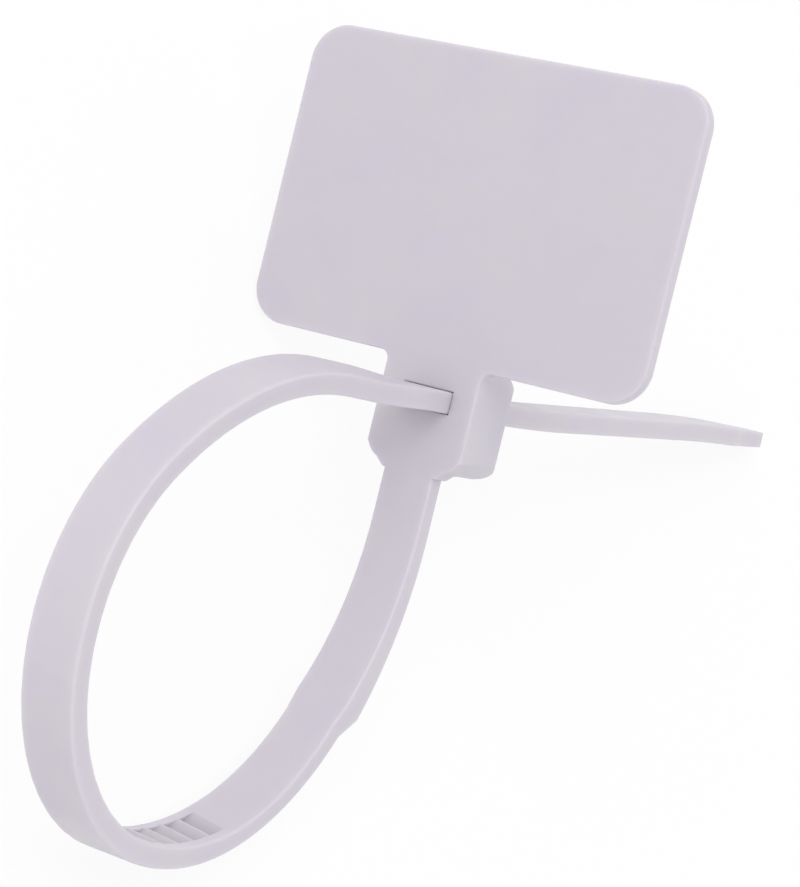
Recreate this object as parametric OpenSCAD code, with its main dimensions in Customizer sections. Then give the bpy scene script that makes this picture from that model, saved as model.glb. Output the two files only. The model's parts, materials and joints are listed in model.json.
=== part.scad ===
// Marker cable tie, closed into a loop: writing plate, ratchet head and toothed strap
// moulded as one piece of nylon.
//
// The tie is drawn in its moulding frame: X runs across the strap, Y through the slot from
// its entry to its exit, and Z from the head up to the plate, with the origin in the middle
// of the slot's mouth. It is then turned to lie on a table as it comes to rest, on a corner
// of the plate, the rim of the loop and the end of the tail.

/* [Marker plate] */
// Length of the plate, across the strap
plate_l = 29; // [22:0.5:36]
// Height of the plate, along the head
plate_h = 20; // [14:0.5:24]
// Thickness of the plate
plate_t = 1.1; // [0.8:0.1:1.6]
// Radius of the plate's four corners
plate_r = 2.5; // [1:0.25:4]
// Distance of the plate's lower edge above the middle of the slot
plate_rise = 2.35; // [1.9:0.05:3]
// Radius between the plate's lower edge and the neck
neck_fillet = 0.6; // [0.2:0.1:1]

/* [Ratchet head] */
// Width of the head, across the strap
head_w = 7; // [6.2:0.1:8.5]
// Depth of the head, from the slot's entry to its exit
head_d = 5.1; // [4.6:0.1:6.5]
// Distance of the head's bottom below the middle of the slot
head_drop = 4.9; // [4.2:0.05:6]
// Width that the web at the head's front loses on each side as it tapers into the strap
taper_w = 1.5; // [0.6:0.1:1.6]
// Height of that taper
taper_h = 1.35; // [0.8:0.05:1.6]
// Thickness of the web
web_t = 1.6; // [1.4:0.1:2]
// Height of the head's own bottom above the web's end
sole_rise = 0.45; // [0.2:0.05:0.6]
// Radius of the head's bottom edges on each side
sole_r = 1.4; // [0.5:0.1:1.6]
// Radius of the bottom edge at the back of the head
heel_r = 1.1; // [0.5:0.1:1.5]
// Slant of the top edge at the back of the head
crown_bevel = 0.9; // [0.3:0.1:1]
// Radius of the upright edges at the back of the head
corner_r = 0.5; // [0.2:0.1:1]

/* [Slot and pawl] */
// Clearance round the strap in the slot
slot_gap = 0.07; // [0.05:0.01:0.25]
// Lead-in chamfer round the slot's mouth
lead_in = 0.1; // [0.1:0.05:0.4]
// Thickness of the wall in front of the pawl
front_wall = 0.8; // [0.6:0.05:1]
// Thickness of the pawl at its hinge
hinge_t = 0.45; // [0.3:0.05:0.7]
// Thickness of the pawl under its teeth
pawl_t = 1; // [0.7:0.05:1.3]
// Gap between the pawl's teeth and the strap's
mesh_gap = 0.08; // [0.05:0.01:0.15]
// Room beside the pawl
pawl_side_gap = 0.2; // [0.1:0.05:0.3]
// Room under the pawl, for it to bend down as the strap passes
pawl_travel = 0.55; // [0.4:0.05:0.8]

/* [Strap] */
// Width of the strap
strap_w = 3.6; // [2.8:0.1:4.6]
// Thickness of the toothed strap
strap_t = 1.4; // [1.2:0.05:1.6]
// Thickness that the plain root has gained on the outside where its ramp starts
swell_t = 0.6; // [0.2:0.05:0.8]
// Width that it has gained there on each side
swell_w = 0.15; // [0:0.05:0.3]
// Length of the ramp from the root down to the toothed strap
ramp_l = 1.8; // [1.2:0.1:4]
// Chamfer along the strap's outer edges
outer_edge = 0.15; // [0.1:0.05:0.35]
// Chamfer along the strap's inner edges
inner_edge = 0.1; // [0.05:0.01:0.2]
// Radius between the strap's root and the head's bottom
root_fillet = 0.6; // [0.2:0.1:1]

/* [Teeth] */
// Distance from tooth to tooth
tooth_pitch = 1.65; // [1.2:0.05:1.65]
// Depth of the gaps between the teeth
tooth_depth = 0.5; // [0.3:0.05:0.6]
// Flat on the crest of each tooth
tooth_land = 0.25; // [0.1:0.05:0.35]
// Width of the smooth rail on each side of the teeth
rail_w = 0.65; // [0.45:0.05:0.8]
// Plain length between the ramp and the first tooth
plain_l = 10; // [2:0.5:14]

/* [Loop] */
// Radius of the bend in the root
root_bend_r = 19.8; // [17:0.2:22]
// Turn of the bend in the root
root_bend_a = 36.5; // [30:0.5:42]
// Radius of the bend below the ramp
lower_bend_r = 18.6; // [16:0.2:21]
// Turn of the bend below the ramp
lower_bend_a = 60.5; // [50:0.5:65]
// Radius of the tightest bend
tight_bend_r = 12.8; // [11:0.2:15]
// Turn of the tightest bend
tight_bend_a = 129.5; // [120:0.5:140]
// Radius of the bend that leads back to the slot
return_bend_r = 24.6; // [20:0.2:30]
// Twist of the strap, which turns its inner face to the right, at its most below the ramp
lower_twist = 9.5; // [0:0.5:12]
// Distance from the root's start to where that twist is at its most
lower_twist_at = 27.5; // [22:0.1:34]
// Length over which it comes and over which it goes
lower_twist_l = 14; // [10:0.5:18]
// Twist of the strap the other way before the slot
entry_twist = 8; // [0:0.5:10]
// Length over which that twist comes
entry_twist_l = 30; // [20:1:40]
// Length over which it goes, just before the slot
entry_untwist_l = 8; // [6:0.5:12]

/* [Tail] */
// Radius of the tail's gentle rise behind the head
rise_r = 175; // [120:5:300]
// Turn of that rise
rise_a = 4; // [1:0.5:6]
// Straight length of the tail after the rise
tail_straight = 18; // [6:0.5:24]
// Radius of the tail's gentle droop
droop_r = 300; // [150:10:600]
// Turn of that droop
droop_a = 2; // [1:0.5:6]
// Length of the tapered tip
tip_l = 8; // [6:0.5:14]
// Width of the tip's round end
tip_w = 1.9; // [1.4:0.1:2.6]
// Thickness of the tip's round end
tip_t = 1.2; // [0.7:0.05:1.3]

/* [Hidden] */
$fn = 96;
// Longest step in degrees round a bend, and in length, between the strap's ribs
rib_step = 3;
rib_gap = 2.5;
// Step in degrees round the tip's end
tip_step = 15;
// Overlap that makes cuts clean and joins sure
over = 0.4;
// Step in degrees at which the plate's corners are sampled to find how the tie lies
feel_step = 2;
// Rounds in which the points that touch the table settle
settle_rounds = 6;
// Distance before the slot at which the strap is flat again
flat_before = 0.5;

plate_mid_z = plate_rise + plate_h / 2;
// The root's inner face is flush with the head's front, so its middle lies this far back
root_y = strap_t / 2;
tooth_w = strap_w - 2 * rail_w;
pawl_w = tooth_w - 2 * pawl_side_gap;
// The pawl has as many teeth as the head's depth holds behind its hinge
pawl_teeth = floor(head_d / tooth_pitch) - 1;
// Height of the slot's floor, and of the plane of the pawl's tooth roots below the strap
slot_floor = -strap_t / 2 - slot_gap;
pawl_top = -strap_t / 2 - mesh_gap;
pocket_floor = pawl_top - pawl_t - pawl_travel;
// Distance of the head's own bottom below the middle of the slot
head_sole = head_drop - sole_rise;

// The strap's middle line in the loop's plane, where a heading of 0 runs through the slot.
// The strap leaves the head straight down, turns clockwise by three quarters of a turn in
// four bends and enters the slot. A stretch is [length, turn], and a turn of 0 is straight.
function bend(r, a) = [r * a * PI / 180, a];
function right_of(h) = [sin(h), -cos(h)];
function radius(stretch) = stretch[0] * 180 / PI / stretch[1];
function advance(p, stretch) = stretch[1] == 0
    ? [p[0] + stretch[0] * cos(p[2]), p[1] + stretch[0] * sin(p[2]), p[2]]
    : let (move = radius(stretch) * (right_of(p[2]) - right_of(p[2] - stretch[1])))
        [p[0] + move[0], p[1] + move[1], p[2] - stretch[1]];
function walk(p, stretches, i = 0) = i == len(stretches)
    ? [p]
    : concat([p], walk(advance(p, stretches[i]), stretches, i + 1));

DOWN = -90;
return_bend_a = 270 - root_bend_a - lower_bend_a - tight_bend_a;
bends = [
    bend(root_bend_r, root_bend_a),
    [ramp_l, 0],
    bend(lower_bend_r, lower_bend_a),
    bend(tight_bend_r, tight_bend_a),
    bend(return_bend_r, return_bend_a)
];
// The two straight lengths that close the loop: the bends alone end at span
stations_of_bends = walk([0, 0, DOWN], bends);
span = stations_of_bends[len(bends)];
root_straight = span[1] - head_drop;
entry_straight = -root_y - span[0];

stretches = concat(
    [[root_straight, 0]],
    bends,
    [
        [entry_straight + head_d, 0], [bend(rise_r, rise_a)[0], -rise_a],
        [tail_straight, 0], bend(droop_r, droop_a)
    ]
);
// Stations are [y, z, heading] at the start of each stretch, and the last is the tip's start
stations = walk([root_y, -head_drop, DOWN], stretches);
RAMP = 2;
last = len(stretches);
starts = [for (i = 0, s = 0; i <= last; s = s + (i < last ? stretches[i][0] : 0), i = i + 1) s];
// Distance along the strap of the slot's mouth, which the teeth are counted from
slot_at = starts[len(bends) + 1] + entry_straight;
teeth_before = floor((slot_at - starts[RAMP + 1] - plain_l) / tooth_pitch);
teeth_after = floor((starts[last] - slot_at) / tooth_pitch) - 1;

function stretch_at(s, i = 0) = i == last - 1 || s < starts[i + 1] ? i : stretch_at(s, i + 1);
function part_of(stretch, l) = [l, stretch[1] * l / stretch[0]];
function station_at(s) = let (i = stretch_at(s))
    s == starts[i] ? stations[i] : advance(stations[i], part_of(stretches[i], s - starts[i]));

// The strap twists a little about its middle line, below the ramp and before the slot
function ease(x) = (1 - cos(180 * max(0, min(1, x)))) / 2;
function hump(s, at, comes, goes) = s < at ? ease((s - at) / comes + 1) : ease((at - s) / goes + 1);
untwist_at = slot_at - flat_before - entry_untwist_l;
function twist_at(s) = lower_twist * hump(s, lower_twist_at, lower_twist_l, lower_twist_l)
    - entry_twist * hump(s, untwist_at, entry_twist_l, entry_untwist_l);

// The root swells from the head to where its ramp starts
function swell_at(s) = s < starts[RAMP] ? pow(s / starts[RAMP], 2)
    : max(0, 1 - (s - starts[RAMP]) / ramp_l);

// The strap is lofted through ribs along its middle line. A rib is [station, thickness
// inside, thickness outside, half width, twist], and its outline has the strap's chamfered
// edges as [out of the loop, across the strap].
function rib_outline(rib) = let (
        n = -rib[1],
        o = rib[2],
        w = rib[3],
        edge_in = min(inner_edge, w / 3),
        edge_out = min(outer_edge, w / 3)
    )
    [
        [n, edge_in - w], [n + edge_in, -w], [o - edge_out, -w], [o, edge_out - w],
        [o, w - edge_out], [o - edge_out, w], [n + edge_in, w], [n, w - edge_in]
    ];
function twisted(q, a) = [q[0] * cos(a) + q[1] * sin(a), q[1] * cos(a) - q[0] * sin(a)];
function outward(p, q) = [p[0] - q[0] * sin(p[2]), p[1] + q[0] * cos(p[2]), q[1]];
function rib_points(rib) = [for (q = rib_outline(rib)) outward(rib[0], twisted(q, rib[4]))];

half_t = strap_t / 2;
half_w = strap_w / 2;
function rib_at(s) = let (swell = swell_at(s))
    [station_at(s), half_t, half_t + swell_t * swell, half_w + swell_w * swell, twist_at(s)];
strap_ribs = [
    for (
        i = [0 : last - 1],
        steps = max(1, ceil(abs(stretches[i][1]) / rib_step), ceil(stretches[i][0] / rib_gap)),
        j = [0 : steps - 1]
    )
        rib_at(starts[i] + stretches[i][0] * j / steps)
];
// The tip narrows and thins to a round end
tip_r = tip_w / 2;
function tip_rib(l, w) = [advance(stations[last], [l, 0]), tip_t / 2, tip_t / 2, w, 0];
tip_ribs = concat(
    [[stations[last], half_t, half_t, half_w, 0]],
    [
        for (a = [0 : tip_step : 90 - tip_step])
            tip_rib(tip_l - tip_r + tip_r * sin(a), tip_r * cos(a))
    ]
);
// The root runs up into the solid bottom of the head
anchor_rib = [[root_y, over - head_drop + sole_rise, DOWN], half_t, half_t, half_w, 0];
ribs = concat([anchor_rib], strap_ribs, tip_ribs);

module plain_strap() {
    n = len(rib_outline(anchor_rib));
    polyhedron(
        points = [for (rib = ribs) each rib_points(rib)],
        faces = concat(
            [[for (k = [0 : n - 1]) k]],
            [
                for (i = [0 : len(ribs) - 2], k = [0 : n - 1], half = [0, 1])
                    let (a = i * n + k, b = i * n + (k + 1) % n)
                        half == 0 ? [a, a + n, b + n] : [a, b + n, b]
            ],
            [[for (k = [n - 1 : -1 : 0]) (len(ribs) - 1) * n + k]]
        )
    );
}

// Turns a shape that lies in the loop's plane, with the strap's width along Z, upright
module in_loop_plane() rotate([90, 0, 90]) children();

// Puts a shape on the strap, with X ahead along it and Y out of the loop
module on_strap(s) {
    p = station_at(s);
    translate([p[0], p[1], 0])
        rotate(p[2])
            rotate([-twist_at(s), 0, 0])
                children();
}

// One gap between two teeth: a ramp down towards the tip, then the steep back of the next
// tooth, which the pawl holds
module tooth_gap()
    translate([0, -strap_t / 2, -tooth_w / 2])
        linear_extrude(tooth_w)
            polygon([
                [tooth_land, -over], [tooth_land, 0],
                [tooth_pitch, tooth_depth], [tooth_pitch, -over]
            ]);

module toothed_strap()
    in_loop_plane()
        difference() {
            plain_strap();
            for (k = [-teeth_before : teeth_after])
                on_strap(slot_at + k * tooth_pitch)
                    tooth_gap();
        }

module rounded_rectangle(l, h, r)
    union() {
        square([l - 2 * r, h], center = true);
        square([l, h - 2 * r], center = true);
        for (x = [-1, 1], y = [-1, 1])
            translate([x * (l / 2 - r), y * (h / 2 - r)])
                circle(r);
    }

// A concave corner: fills the angle between the +X and +Y axes up to a round of radius r
module fillet(r)
    difference() {
        translate([-over, -over])
            square(r + over);
        translate([r, r])
            circle(r);
    }

// The writing plate and its neck, flush with the head's front, with a fillet on each side
// where they meet
module marker_plate()
    translate([0, plate_t, 0])
        rotate([90, 0, 0])
            linear_extrude(plate_t) {
                translate([0, plate_mid_z])
                    rounded_rectangle(plate_l, plate_h, plate_r);
                translate([-head_w / 2, plate_rise - over])
                    square([head_w, 2 * over]);
                for (side = [0, 1])
                    mirror([side, 0])
                        translate([head_w / 2, plate_rise])
                            mirror([0, 1])
                                fillet(neck_fillet);
            }

// The head's outline from the front: a block whose bottom edges are round
module head_front()
    translate([0, head_d, 0])
        rotate([90, 0, 0])
            linear_extrude(head_d) {
                translate([-head_w / 2, sole_r - head_sole])
                    square([head_w, plate_rise + head_sole - sole_r]);
                translate([sole_r - head_w / 2, -head_sole])
                    square([head_w - 2 * sole_r, 2 * sole_r]);
                for (side = [-1, 1])
                    translate([side * (head_w / 2 - sole_r), sole_r - head_sole])
                        circle(sole_r);
            }

// The head's outline from the side: a slanted crown, and a round heel at the bottom
module head_side()
    in_loop_plane()
        linear_extrude(head_w + 2 * over, center = true) {
            polygon([
                [0, -head_sole], [head_d - heel_r, -head_sole], [head_d - heel_r, heel_r - head_sole],
                [head_d, heel_r - head_sole], [head_d, plate_rise - crown_bevel],
                [head_d - crown_bevel, plate_rise], [0, plate_rise]
            ]);
            translate([head_d - heel_r, heel_r - head_sole])
                circle(heel_r);
        }

// The head's outline from above: two rounded corners at the back
module head_plan()
    translate([0, 0, -head_sole - over])
        linear_extrude(head_sole + plate_rise + 2 * over) {
            translate([-head_w / 2, 0])
                square([head_w, head_d - corner_r]);
            translate([corner_r - head_w / 2, 0])
                square([head_w - 2 * corner_r, head_d]);
            for (side = [-1, 1])
                translate([side * (head_w / 2 - corner_r), head_d - corner_r])
                    circle(corner_r);
        }

// The web that carries the pull of the strap's root into the head's front
module head_web()
    translate([0, web_t, 0])
        rotate([90, 0, 0])
            linear_extrude(web_t)
                polygon([
                    [-head_w / 2, slot_floor], [head_w / 2, slot_floor],
                    [head_w / 2, taper_h - head_drop], [head_w / 2 - taper_w, -head_drop],
                    [taper_w - head_w / 2, -head_drop], [-head_w / 2, taper_h - head_drop]
                ]);

module head_block() {
    intersection() {
        head_front();
        head_side();
        head_plan();
    }
    head_web();
}

// The slot for the strap, with a lead-in above and below its mouth
module slot()
    in_loop_plane()
        linear_extrude(strap_w + 2 * slot_gap, center = true)
            polygon([
                [-over, lead_in + over - slot_floor], [lead_in, -slot_floor],
                [head_d + over, -slot_floor], [head_d + over, slot_floor],
                [lead_in, slot_floor], [-over, slot_floor - lead_in - over]
            ]);

// The pocket under the slot that the pawl moves in, open at the back
module pawl_pocket()
    in_loop_plane()
        linear_extrude(pawl_w + 2 * pawl_side_gap, center = true)
            polygon([
                [front_wall, slot_floor + over], [head_d + over, slot_floor + over],
                [head_d + over, pocket_floor], [front_wall, pocket_floor]
            ]);

// The pawl: a tongue hinged on the front wall, whose teeth fit the strap's gaps
pawl_end = (pawl_teeth + 1) * tooth_pitch - mesh_gap;
hinge_top = pawl_top - pawl_t + hinge_t;
module pawl()
    in_loop_plane()
        linear_extrude(pawl_w, center = true)
            polygon(concat(
                [
                    [front_wall - over, hinge_top], [front_wall, hinge_top],
                    [tooth_pitch, pawl_top]
                ],
                [
                    for (k = [1 : pawl_teeth], point = [
                        [k * tooth_pitch + tooth_land, pawl_top],
                        [(k + 1) * tooth_pitch - mesh_gap, pawl_top + tooth_depth - mesh_gap],
                        [(k + 1) * tooth_pitch - mesh_gap, pawl_top]
                    ]) point
                ],
                [
                    [pawl_end, pawl_top - pawl_t / 2], [pawl_end - pawl_t / 2, pawl_top - pawl_t],
                    [front_wall - over, pawl_top - pawl_t]
                ]
            ));

// The fillet behind the strap's root, under the head
module root_corner()
    in_loop_plane()
        translate([strap_t, -head_sole, 0])
            linear_extrude(strap_w - 2 * outer_edge, center = true)
                mirror([0, 1])
                    fillet(root_fillet);

module ratchet_head() {
    difference() {
        head_block();
        slot();
        pawl_pocket();
    }
    pawl();
    root_corner();
}

// How the tie lies. Points that stand for its outline are felt along a direction, and the
// plane through the lowest points of the plate, the loop and the tail is the table.
function placed(p) = [p[2], p[0], p[1]];
function unit(v) = v / norm(v);
function lowest(points, up) = let (heights = points * up, low = min(heights))
    [for (i = [0 : len(points) - 1]) if (heights[i] == low) points[i]][0];
loop_points = [for (rib = strap_ribs, p = rib_points(rib)) placed(p)];
plate_points = [
    for (a = [0 : feel_step : 359], y = [0, plate_t])
        [
            sign(cos(a)) * (plate_l / 2 - plate_r) + plate_r * cos(a),
            y,
            plate_mid_z + sign(sin(a)) * (plate_h / 2 - plate_r) + plate_r * sin(a)
        ]
];
tail_points = [for (rib = tip_ribs, p = rib_points(rib)) placed(p)];
head_points = [
    for (x = [-1, 1], y = [0, head_d], z = [-head_drop, plate_rise]) [x * head_w / 2, y, z]
];
function table_normal(up) = let (
        plate = lowest(plate_points, up),
        loop = lowest(loop_points, up),
        tail = lowest(tail_points, up),
        n = unit(cross(loop - plate, tail - plate))
    )
    n * up < 0 ? -n : n;
function settle(up, rounds) = rounds <= 0 ? up : settle(table_normal(up), rounds - 1);

// Roughly upwards as the tie lies, which the contacts then make exact
guess = unit([0.8, -0.35, 0.5]);
up = settle(guess, settle_rounds);
// The slot's direction over the table becomes the lying part's Y
along = unit([0, 1, 0] - up[1] * up);
turn = [cross(along, up), along, up];
outline = [for (p = concat(plate_points, loop_points, tail_points, head_points)) turn * p];
function low(i) = min([for (p = outline) p[i]]);
function high(i) = max([for (p = outline) p[i]]);
rest_at = [-(low(0) + high(0)) / 2, -(low(1) + high(1)) / 2, -low(2)];

module lying()
    translate(rest_at)
        multmatrix([
            [turn[0][0], turn[0][1], turn[0][2], 0],
            [turn[1][0], turn[1][1], turn[1][2], 0],
            [turn[2][0], turn[2][1], turn[2][2], 0],
            [0, 0, 0, 1]
        ])
            children();

module cable_tie()
    color("#cfcad1")
        lying() {
            marker_plate();
            ratchet_head();
            toothed_strap();
        }

cable_tie();
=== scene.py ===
"""Dressed model of a nylon marker cable tie that lies on a table, closed into a loop.

The tie is built in its moulding frame, in millimetres: X runs across the strap, Y through
the slot, and Z from the head up to the marker plate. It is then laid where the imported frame
has it.
"""

import json
import logging
import math
from dataclasses import dataclass, field
from enum import Enum
from functools import partial

import bmesh
import bpy
from mathutils import Matrix, Vector

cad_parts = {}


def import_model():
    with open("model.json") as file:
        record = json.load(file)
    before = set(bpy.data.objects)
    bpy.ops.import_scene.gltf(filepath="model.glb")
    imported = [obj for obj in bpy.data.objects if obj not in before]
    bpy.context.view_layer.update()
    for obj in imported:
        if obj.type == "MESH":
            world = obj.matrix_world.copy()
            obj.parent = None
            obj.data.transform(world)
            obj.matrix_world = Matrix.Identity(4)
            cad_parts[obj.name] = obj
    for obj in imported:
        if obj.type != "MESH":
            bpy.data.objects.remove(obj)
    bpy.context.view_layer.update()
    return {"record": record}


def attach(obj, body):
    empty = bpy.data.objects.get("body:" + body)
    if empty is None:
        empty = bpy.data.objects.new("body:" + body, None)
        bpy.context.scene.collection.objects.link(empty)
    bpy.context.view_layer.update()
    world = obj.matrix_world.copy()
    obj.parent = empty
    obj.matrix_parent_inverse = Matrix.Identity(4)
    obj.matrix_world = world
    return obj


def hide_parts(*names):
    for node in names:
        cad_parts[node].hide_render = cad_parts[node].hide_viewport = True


MM = 0.001
IMAGE_LONG_SIDE = 887
SENSOR_MM = 36.0
NODE_NAME = "cable_tie"
# The attribute that tells how deep a point of a tooth gap lies, for the painted shade there
GAP_SHADE_MARK = "gap_depth"
SAME_POINT_MM = 1e-5
SAME_VERTEX_MM = 0.002
FLAT_DEGREES = 0.3
ROUND_SEGMENTS = 2
logger = logging.getLogger(NODE_NAME)

Corner = tuple[float, float, float]
Point2 = tuple[float, float]
Source = bpy.types.Node | bpy.types.NodeSocket


class Plane(Enum):
    """The plane that an outline is drawn in; the prism is drawn out square to it."""

    FRONT = "front"
    SIDE = "side"
    TOP = "top"

    def point(self, a: float, b: float, depth: float) -> Vector:
        """Places a point of an outline in the moulding frame.

        Args:
            a: The outline's first value: across for FRONT and TOP, through for SIDE.
            b: The outline's second value: up for FRONT and SIDE, through for TOP.
            depth: Distance square to the outline's plane.

        Returns:
            The point in the moulding frame.
        """
        if self is Plane.FRONT:
            return Vector((a, depth, b))
        if self is Plane.SIDE:
            return Vector((depth, a, b))
        return Vector((a, b, depth))


class Blend(Enum):
    """How a shape is combined with the solid before it."""

    ADD = "UNION"
    CUT = "DIFFERENCE"
    KEEP_COMMON = "INTERSECT"


def linear(hex_colour: str) -> tuple[float, float, float, float]:
    """Turns an sRGB hex colour into the linear colour that Blender's sockets take.

    Args:
        hex_colour: Six hex digits, with or without a leading "#".

    Returns:
        Linear red, green and blue, and an alpha of 1.
    """
    digits = hex_colour.lstrip("#")
    levels = [int(digits[i : i + 2], 16) / 255 for i in (0, 2, 4)]
    return (
        *[c / 12.92 if c <= 0.04045 else ((c + 0.055) / 1.055) ** 2.4 for c in levels],
        1.0,
    )


def add_node(tree: bpy.types.NodeTree, kind: str, links: dict | None = None, **settings) -> bpy.types.Node:
    """Adds a node with its settings, socket values and links.

    Args:
        tree: The tree that gets the node.
        kind: The node's type name.
        links: Input sockets by name or number, with a value, an output socket or a node for each.
            A node stands for its first output.
        settings: The node's own properties.

    Returns:
        The new node.
    """
    node = tree.nodes.new(kind)
    for name, value in settings.items():
        setattr(node, name, value)
    for socket, value in (links or {}).items():
        if isinstance(value, bpy.types.Node):
            value = value.outputs[0]
        if isinstance(value, bpy.types.NodeSocket):
            tree.links.new(value, node.inputs[socket])
        else:
            node.inputs[socket].default_value = value
    return node


def without_repeats(points: list[Point2]) -> list[Point2]:
    """Drops each point of a closed outline that lies on the one before it.

    Args:
        points: The outline's points in order.

    Returns:
        The points that are left.
    """
    before = points[-1:] + points[:-1]
    return [p for p, q in zip(points, before) if math.dist(p, q) > SAME_POINT_MM]


def rounded(corners: list[Corner], step: float = 7.5) -> list[Point2]:
    """Draws a closed outline whose corners are rounded.

    Args:
        corners: The corners in order as [a, b, radius]; a radius of 0 stays sharp.
        step: Longest step in degrees round a corner.

    Returns:
        The outline's points.
    """
    points: list[Point2] = []
    for i, (a, b, radius) in enumerate(corners):
        here = Vector((a, b))
        before = (Vector(corners[i - 1][:2]) - here).normalized()
        after = (Vector(corners[(i + 1) % len(corners)][:2]) - here).normalized()
        half = before.angle(after) / 2
        if radius <= 0:
            points.append((a, b))
            continue
        reach = radius / math.tan(half)
        centre = here + (before + after).normalized() * (radius / math.sin(half))
        start, end = here + before * reach - centre, here + after * reach - centre
        sweep = start.angle_signed(end)
        count = max(1, math.ceil(abs(math.degrees(sweep)) / step))
        for k in range(count + 1):
            spoke = start.copy()
            spoke.rotate(Matrix.Rotation(-sweep * k / count, 2))
            points.append(tuple(centre + spoke))
    return without_repeats(points)


@dataclass
class Solid:
    """A closed mesh that other shapes are added to, cut from or met with."""

    name: str
    piece: bpy.types.Object | None = None

    def take(self, mesh: bpy.types.Mesh) -> "Solid":
        """Starts the solid from a mesh.

        Args:
            mesh: The mesh, in the moulding frame.

        Returns:
            The solid itself.
        """
        self.piece = bpy.data.objects.new(self.name, mesh)
        bpy.context.scene.collection.objects.link(self.piece)
        return self

    def prism(self, outline: list[Point2], plane: Plane, start: float, end: float) -> "Solid":
        """Starts the solid as an outline drawn out square to its plane.

        Args:
            outline: The outline's points in order.
            plane: The plane that it is drawn in.
            start: Where the prism starts, square to the plane.
            end: Where it ends.

        Returns:
            The solid itself.
        """
        made = bmesh.new()
        rings = [[made.verts.new(plane.point(a, b, depth)) for a, b in outline] for depth in (start, end)]
        made.faces.new(rings[0])
        made.faces.new(rings[1])
        for i in range(len(outline)):
            made.faces.new((rings[0][i - 1], rings[0][i], rings[1][i], rings[1][i - 1]))
        bmesh.ops.recalc_face_normals(made, faces=made.faces)
        mesh = bpy.data.meshes.new(self.name)
        made.to_mesh(mesh)
        made.free()
        return self.take(mesh)

    def settle(self) -> None:
        """Applies the piece's modifiers, so that it is a plain mesh again."""
        graph = bpy.context.evaluated_depsgraph_get()
        mesh = bpy.data.meshes.new_from_object(self.piece.evaluated_get(graph))
        self.piece.modifiers.clear()
        old, self.piece.data = self.piece.data, mesh
        bpy.data.meshes.remove(old)

    def blend(self, other: "Solid", how: Blend) -> "Solid":
        """Combines the solid with another, which is used up.

        Args:
            other: The other solid.
            how: Whether it is added, cut away or met with.

        Returns:
            The solid itself.
        """
        modifier = self.piece.modifiers.new("blend", "BOOLEAN")
        modifier.operation = how.value
        modifier.solver = "MANIFOLD"
        modifier.object = other.piece
        self.settle()
        other.discard()
        return self

    def soften(self, width: float, angle: float = 28.0, before: float = math.inf) -> "Solid":
        """Rounds the solid's sharp edges.

        Args:
            width: Width of the round.
            angle: Least angle in degrees of the edges that are rounded.
            before: Distance through the head beyond which edges stay as they are.

        Returns:
            The solid itself.
        """
        made = bmesh.new()
        made.from_mesh(self.piece.data)
        bmesh.ops.remove_doubles(made, verts=made.verts, dist=SAME_VERTEX_MM)
        bmesh.ops.dissolve_limit(
            made, angle_limit=math.radians(FLAT_DEGREES), verts=made.verts, edges=made.edges
        )
        weight = made.edges.layers.float.new("bevel_weight_edge")
        for edge in made.edges:
            sharp = edge.calc_face_angle(0.0) > math.radians(angle)
            edge[weight] = float(sharp and max(v.co.y for v in edge.verts) < before)
        made.to_mesh(self.piece.data)
        made.free()
        bevel = self.piece.modifiers.new("edge_break", "BEVEL")
        bevel.width = width
        bevel.segments = ROUND_SEGMENTS
        bevel.limit_method = "WEIGHT"
        bevel.use_clamp_overlap = False
        bevel.miter_outer = "MITER_ARC"
        self.settle()
        return self

    def discard(self) -> None:
        """Removes the piece and its mesh from the scene."""
        mesh = self.piece.data
        bpy.data.objects.remove(self.piece)
        bpy.data.meshes.remove(mesh)
        self.piece = None


@dataclass(frozen=True)
class MouldingFrame:
    """Where the moulding frame lies: X across the strap, Y through the slot, Z up to the plate."""

    plate_front: float = 0.0
    plate_mid: float = 12.35

    def matrix(self, record: dict) -> Matrix:
        """Reads the place of the moulding frame from the record's mounts.

        Args:
            record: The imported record, whose plate and loop mounts carry the frame's axes.

        Returns:
            The matrix from millimetres in the moulding frame to metres as the tie lies.
        """
        mounts = {mount["name"]: mount for mount in record["mounts"]}
        through = Vector(mounts["label_back"]["axis"]).normalized()
        across = Vector(mounts["bundle_loop"]["axis"]).normalized()
        up = across.cross(through).normalized()
        face = Vector(mounts["label_face"]["pos_m"])
        origin = face - (through * self.plate_front + up * self.plate_mid) * MM
        turn = Matrix((across, through, up)).transposed().to_4x4()
        return Matrix.Translation(origin) @ turn @ Matrix.Scale(MM, 4)


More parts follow.
